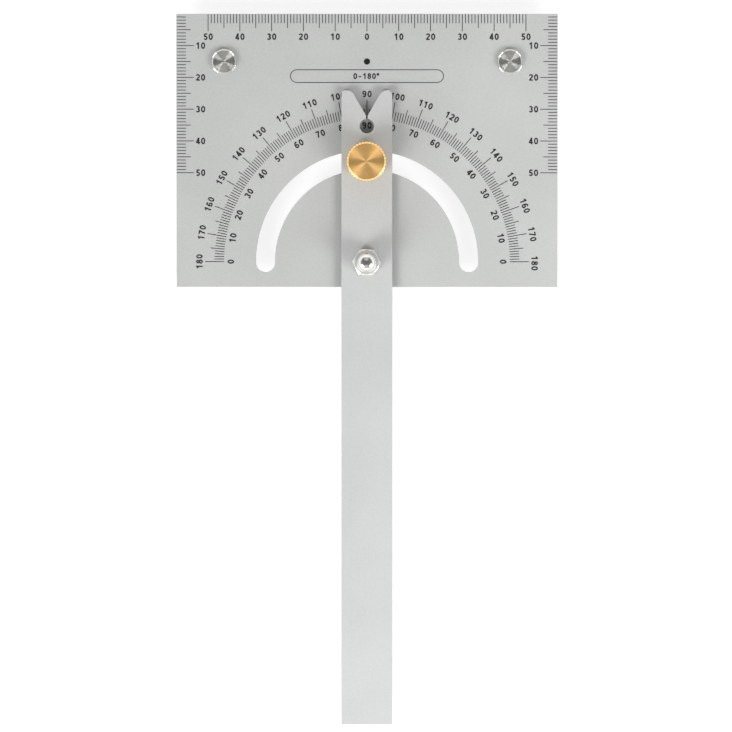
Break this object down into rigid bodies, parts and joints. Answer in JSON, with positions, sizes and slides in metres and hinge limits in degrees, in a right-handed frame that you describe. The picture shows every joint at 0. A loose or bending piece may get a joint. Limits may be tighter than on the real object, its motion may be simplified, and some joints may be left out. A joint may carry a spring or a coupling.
{
  "type": "protractor",
  "caption": "Flat steel protractor: rectangular graduated head, swinging arm on a pivot with a forked reading tip, and a knurled brass nut that locks the arm along an arc slot.",
  "frame": {"origin": "middle of the tool's footprint with the arm straight, on the surface that it rests on; the pivot's axis is at y = 0.034", "axes": "+X to the right along the head's graduated edge, +Y from the arm's square end towards that edge, +Z out of the head's graduated face"},
  "size_m": [0.12, 0.224, 0.0176],
  "materials": {
    "satin_steel": "satin, fine grain",
    "turned_steel": "turned, fine rings",
    "polished_steel": "polished",
    "zinc_steel": "zinc plated",
    "spring_steel": "oiled spring steel",
    "brass": "turned and knurled",
    "nylon": "matte"
  },
  "bodies": {
    "head": {"head_plate": "satin_steel", "pivot_screw": "zinc_steel", "pivot_wave_washer": "spring_steel", "pivot_back_washer": "zinc_steel", "pivot_spacer": "nylon", "pivot_cap_nut": "polished_steel", "left_peg": "turned_steel", "left_peg_screw": "turned_steel", "right_peg": "turned_steel", "right_peg_screw": "turned_steel"},
    "arm": {"arm": "satin_steel", "lock_screw": "zinc_steel", "lock_back_washer": "zinc_steel", "lock_spacer": "nylon"},
    "knob_washer": {"knob_washer": "brass"},
    "knob": {"lock_knob": "brass"}
  },
  "joints": [
    {"name": "arm_swing", "type": "hinge", "parent": "head", "child": "arm", "pos_m": [0, 0.034, 0.00775], "axis": [0, 0, 1], "range_deg": [-90, 90]},
    {"name": "knob_lift", "type": "slide", "parent": "arm", "child": "knob_washer", "axis": [0, 0, 1], "range_m": [0, 0.0016]},
    {"name": "knob_turn", "type": "hinge", "parent": "knob_washer", "child": "knob", "pos_m": [0, 0.06575, 0.0127], "axis": [0, 0, 1], "range_deg": [0, 720]}
  ],
  "couplings": [
    {"joint": "knob_lift", "follows": "knob_turn", "m_per_rad": 0.0001273}
  ]
}
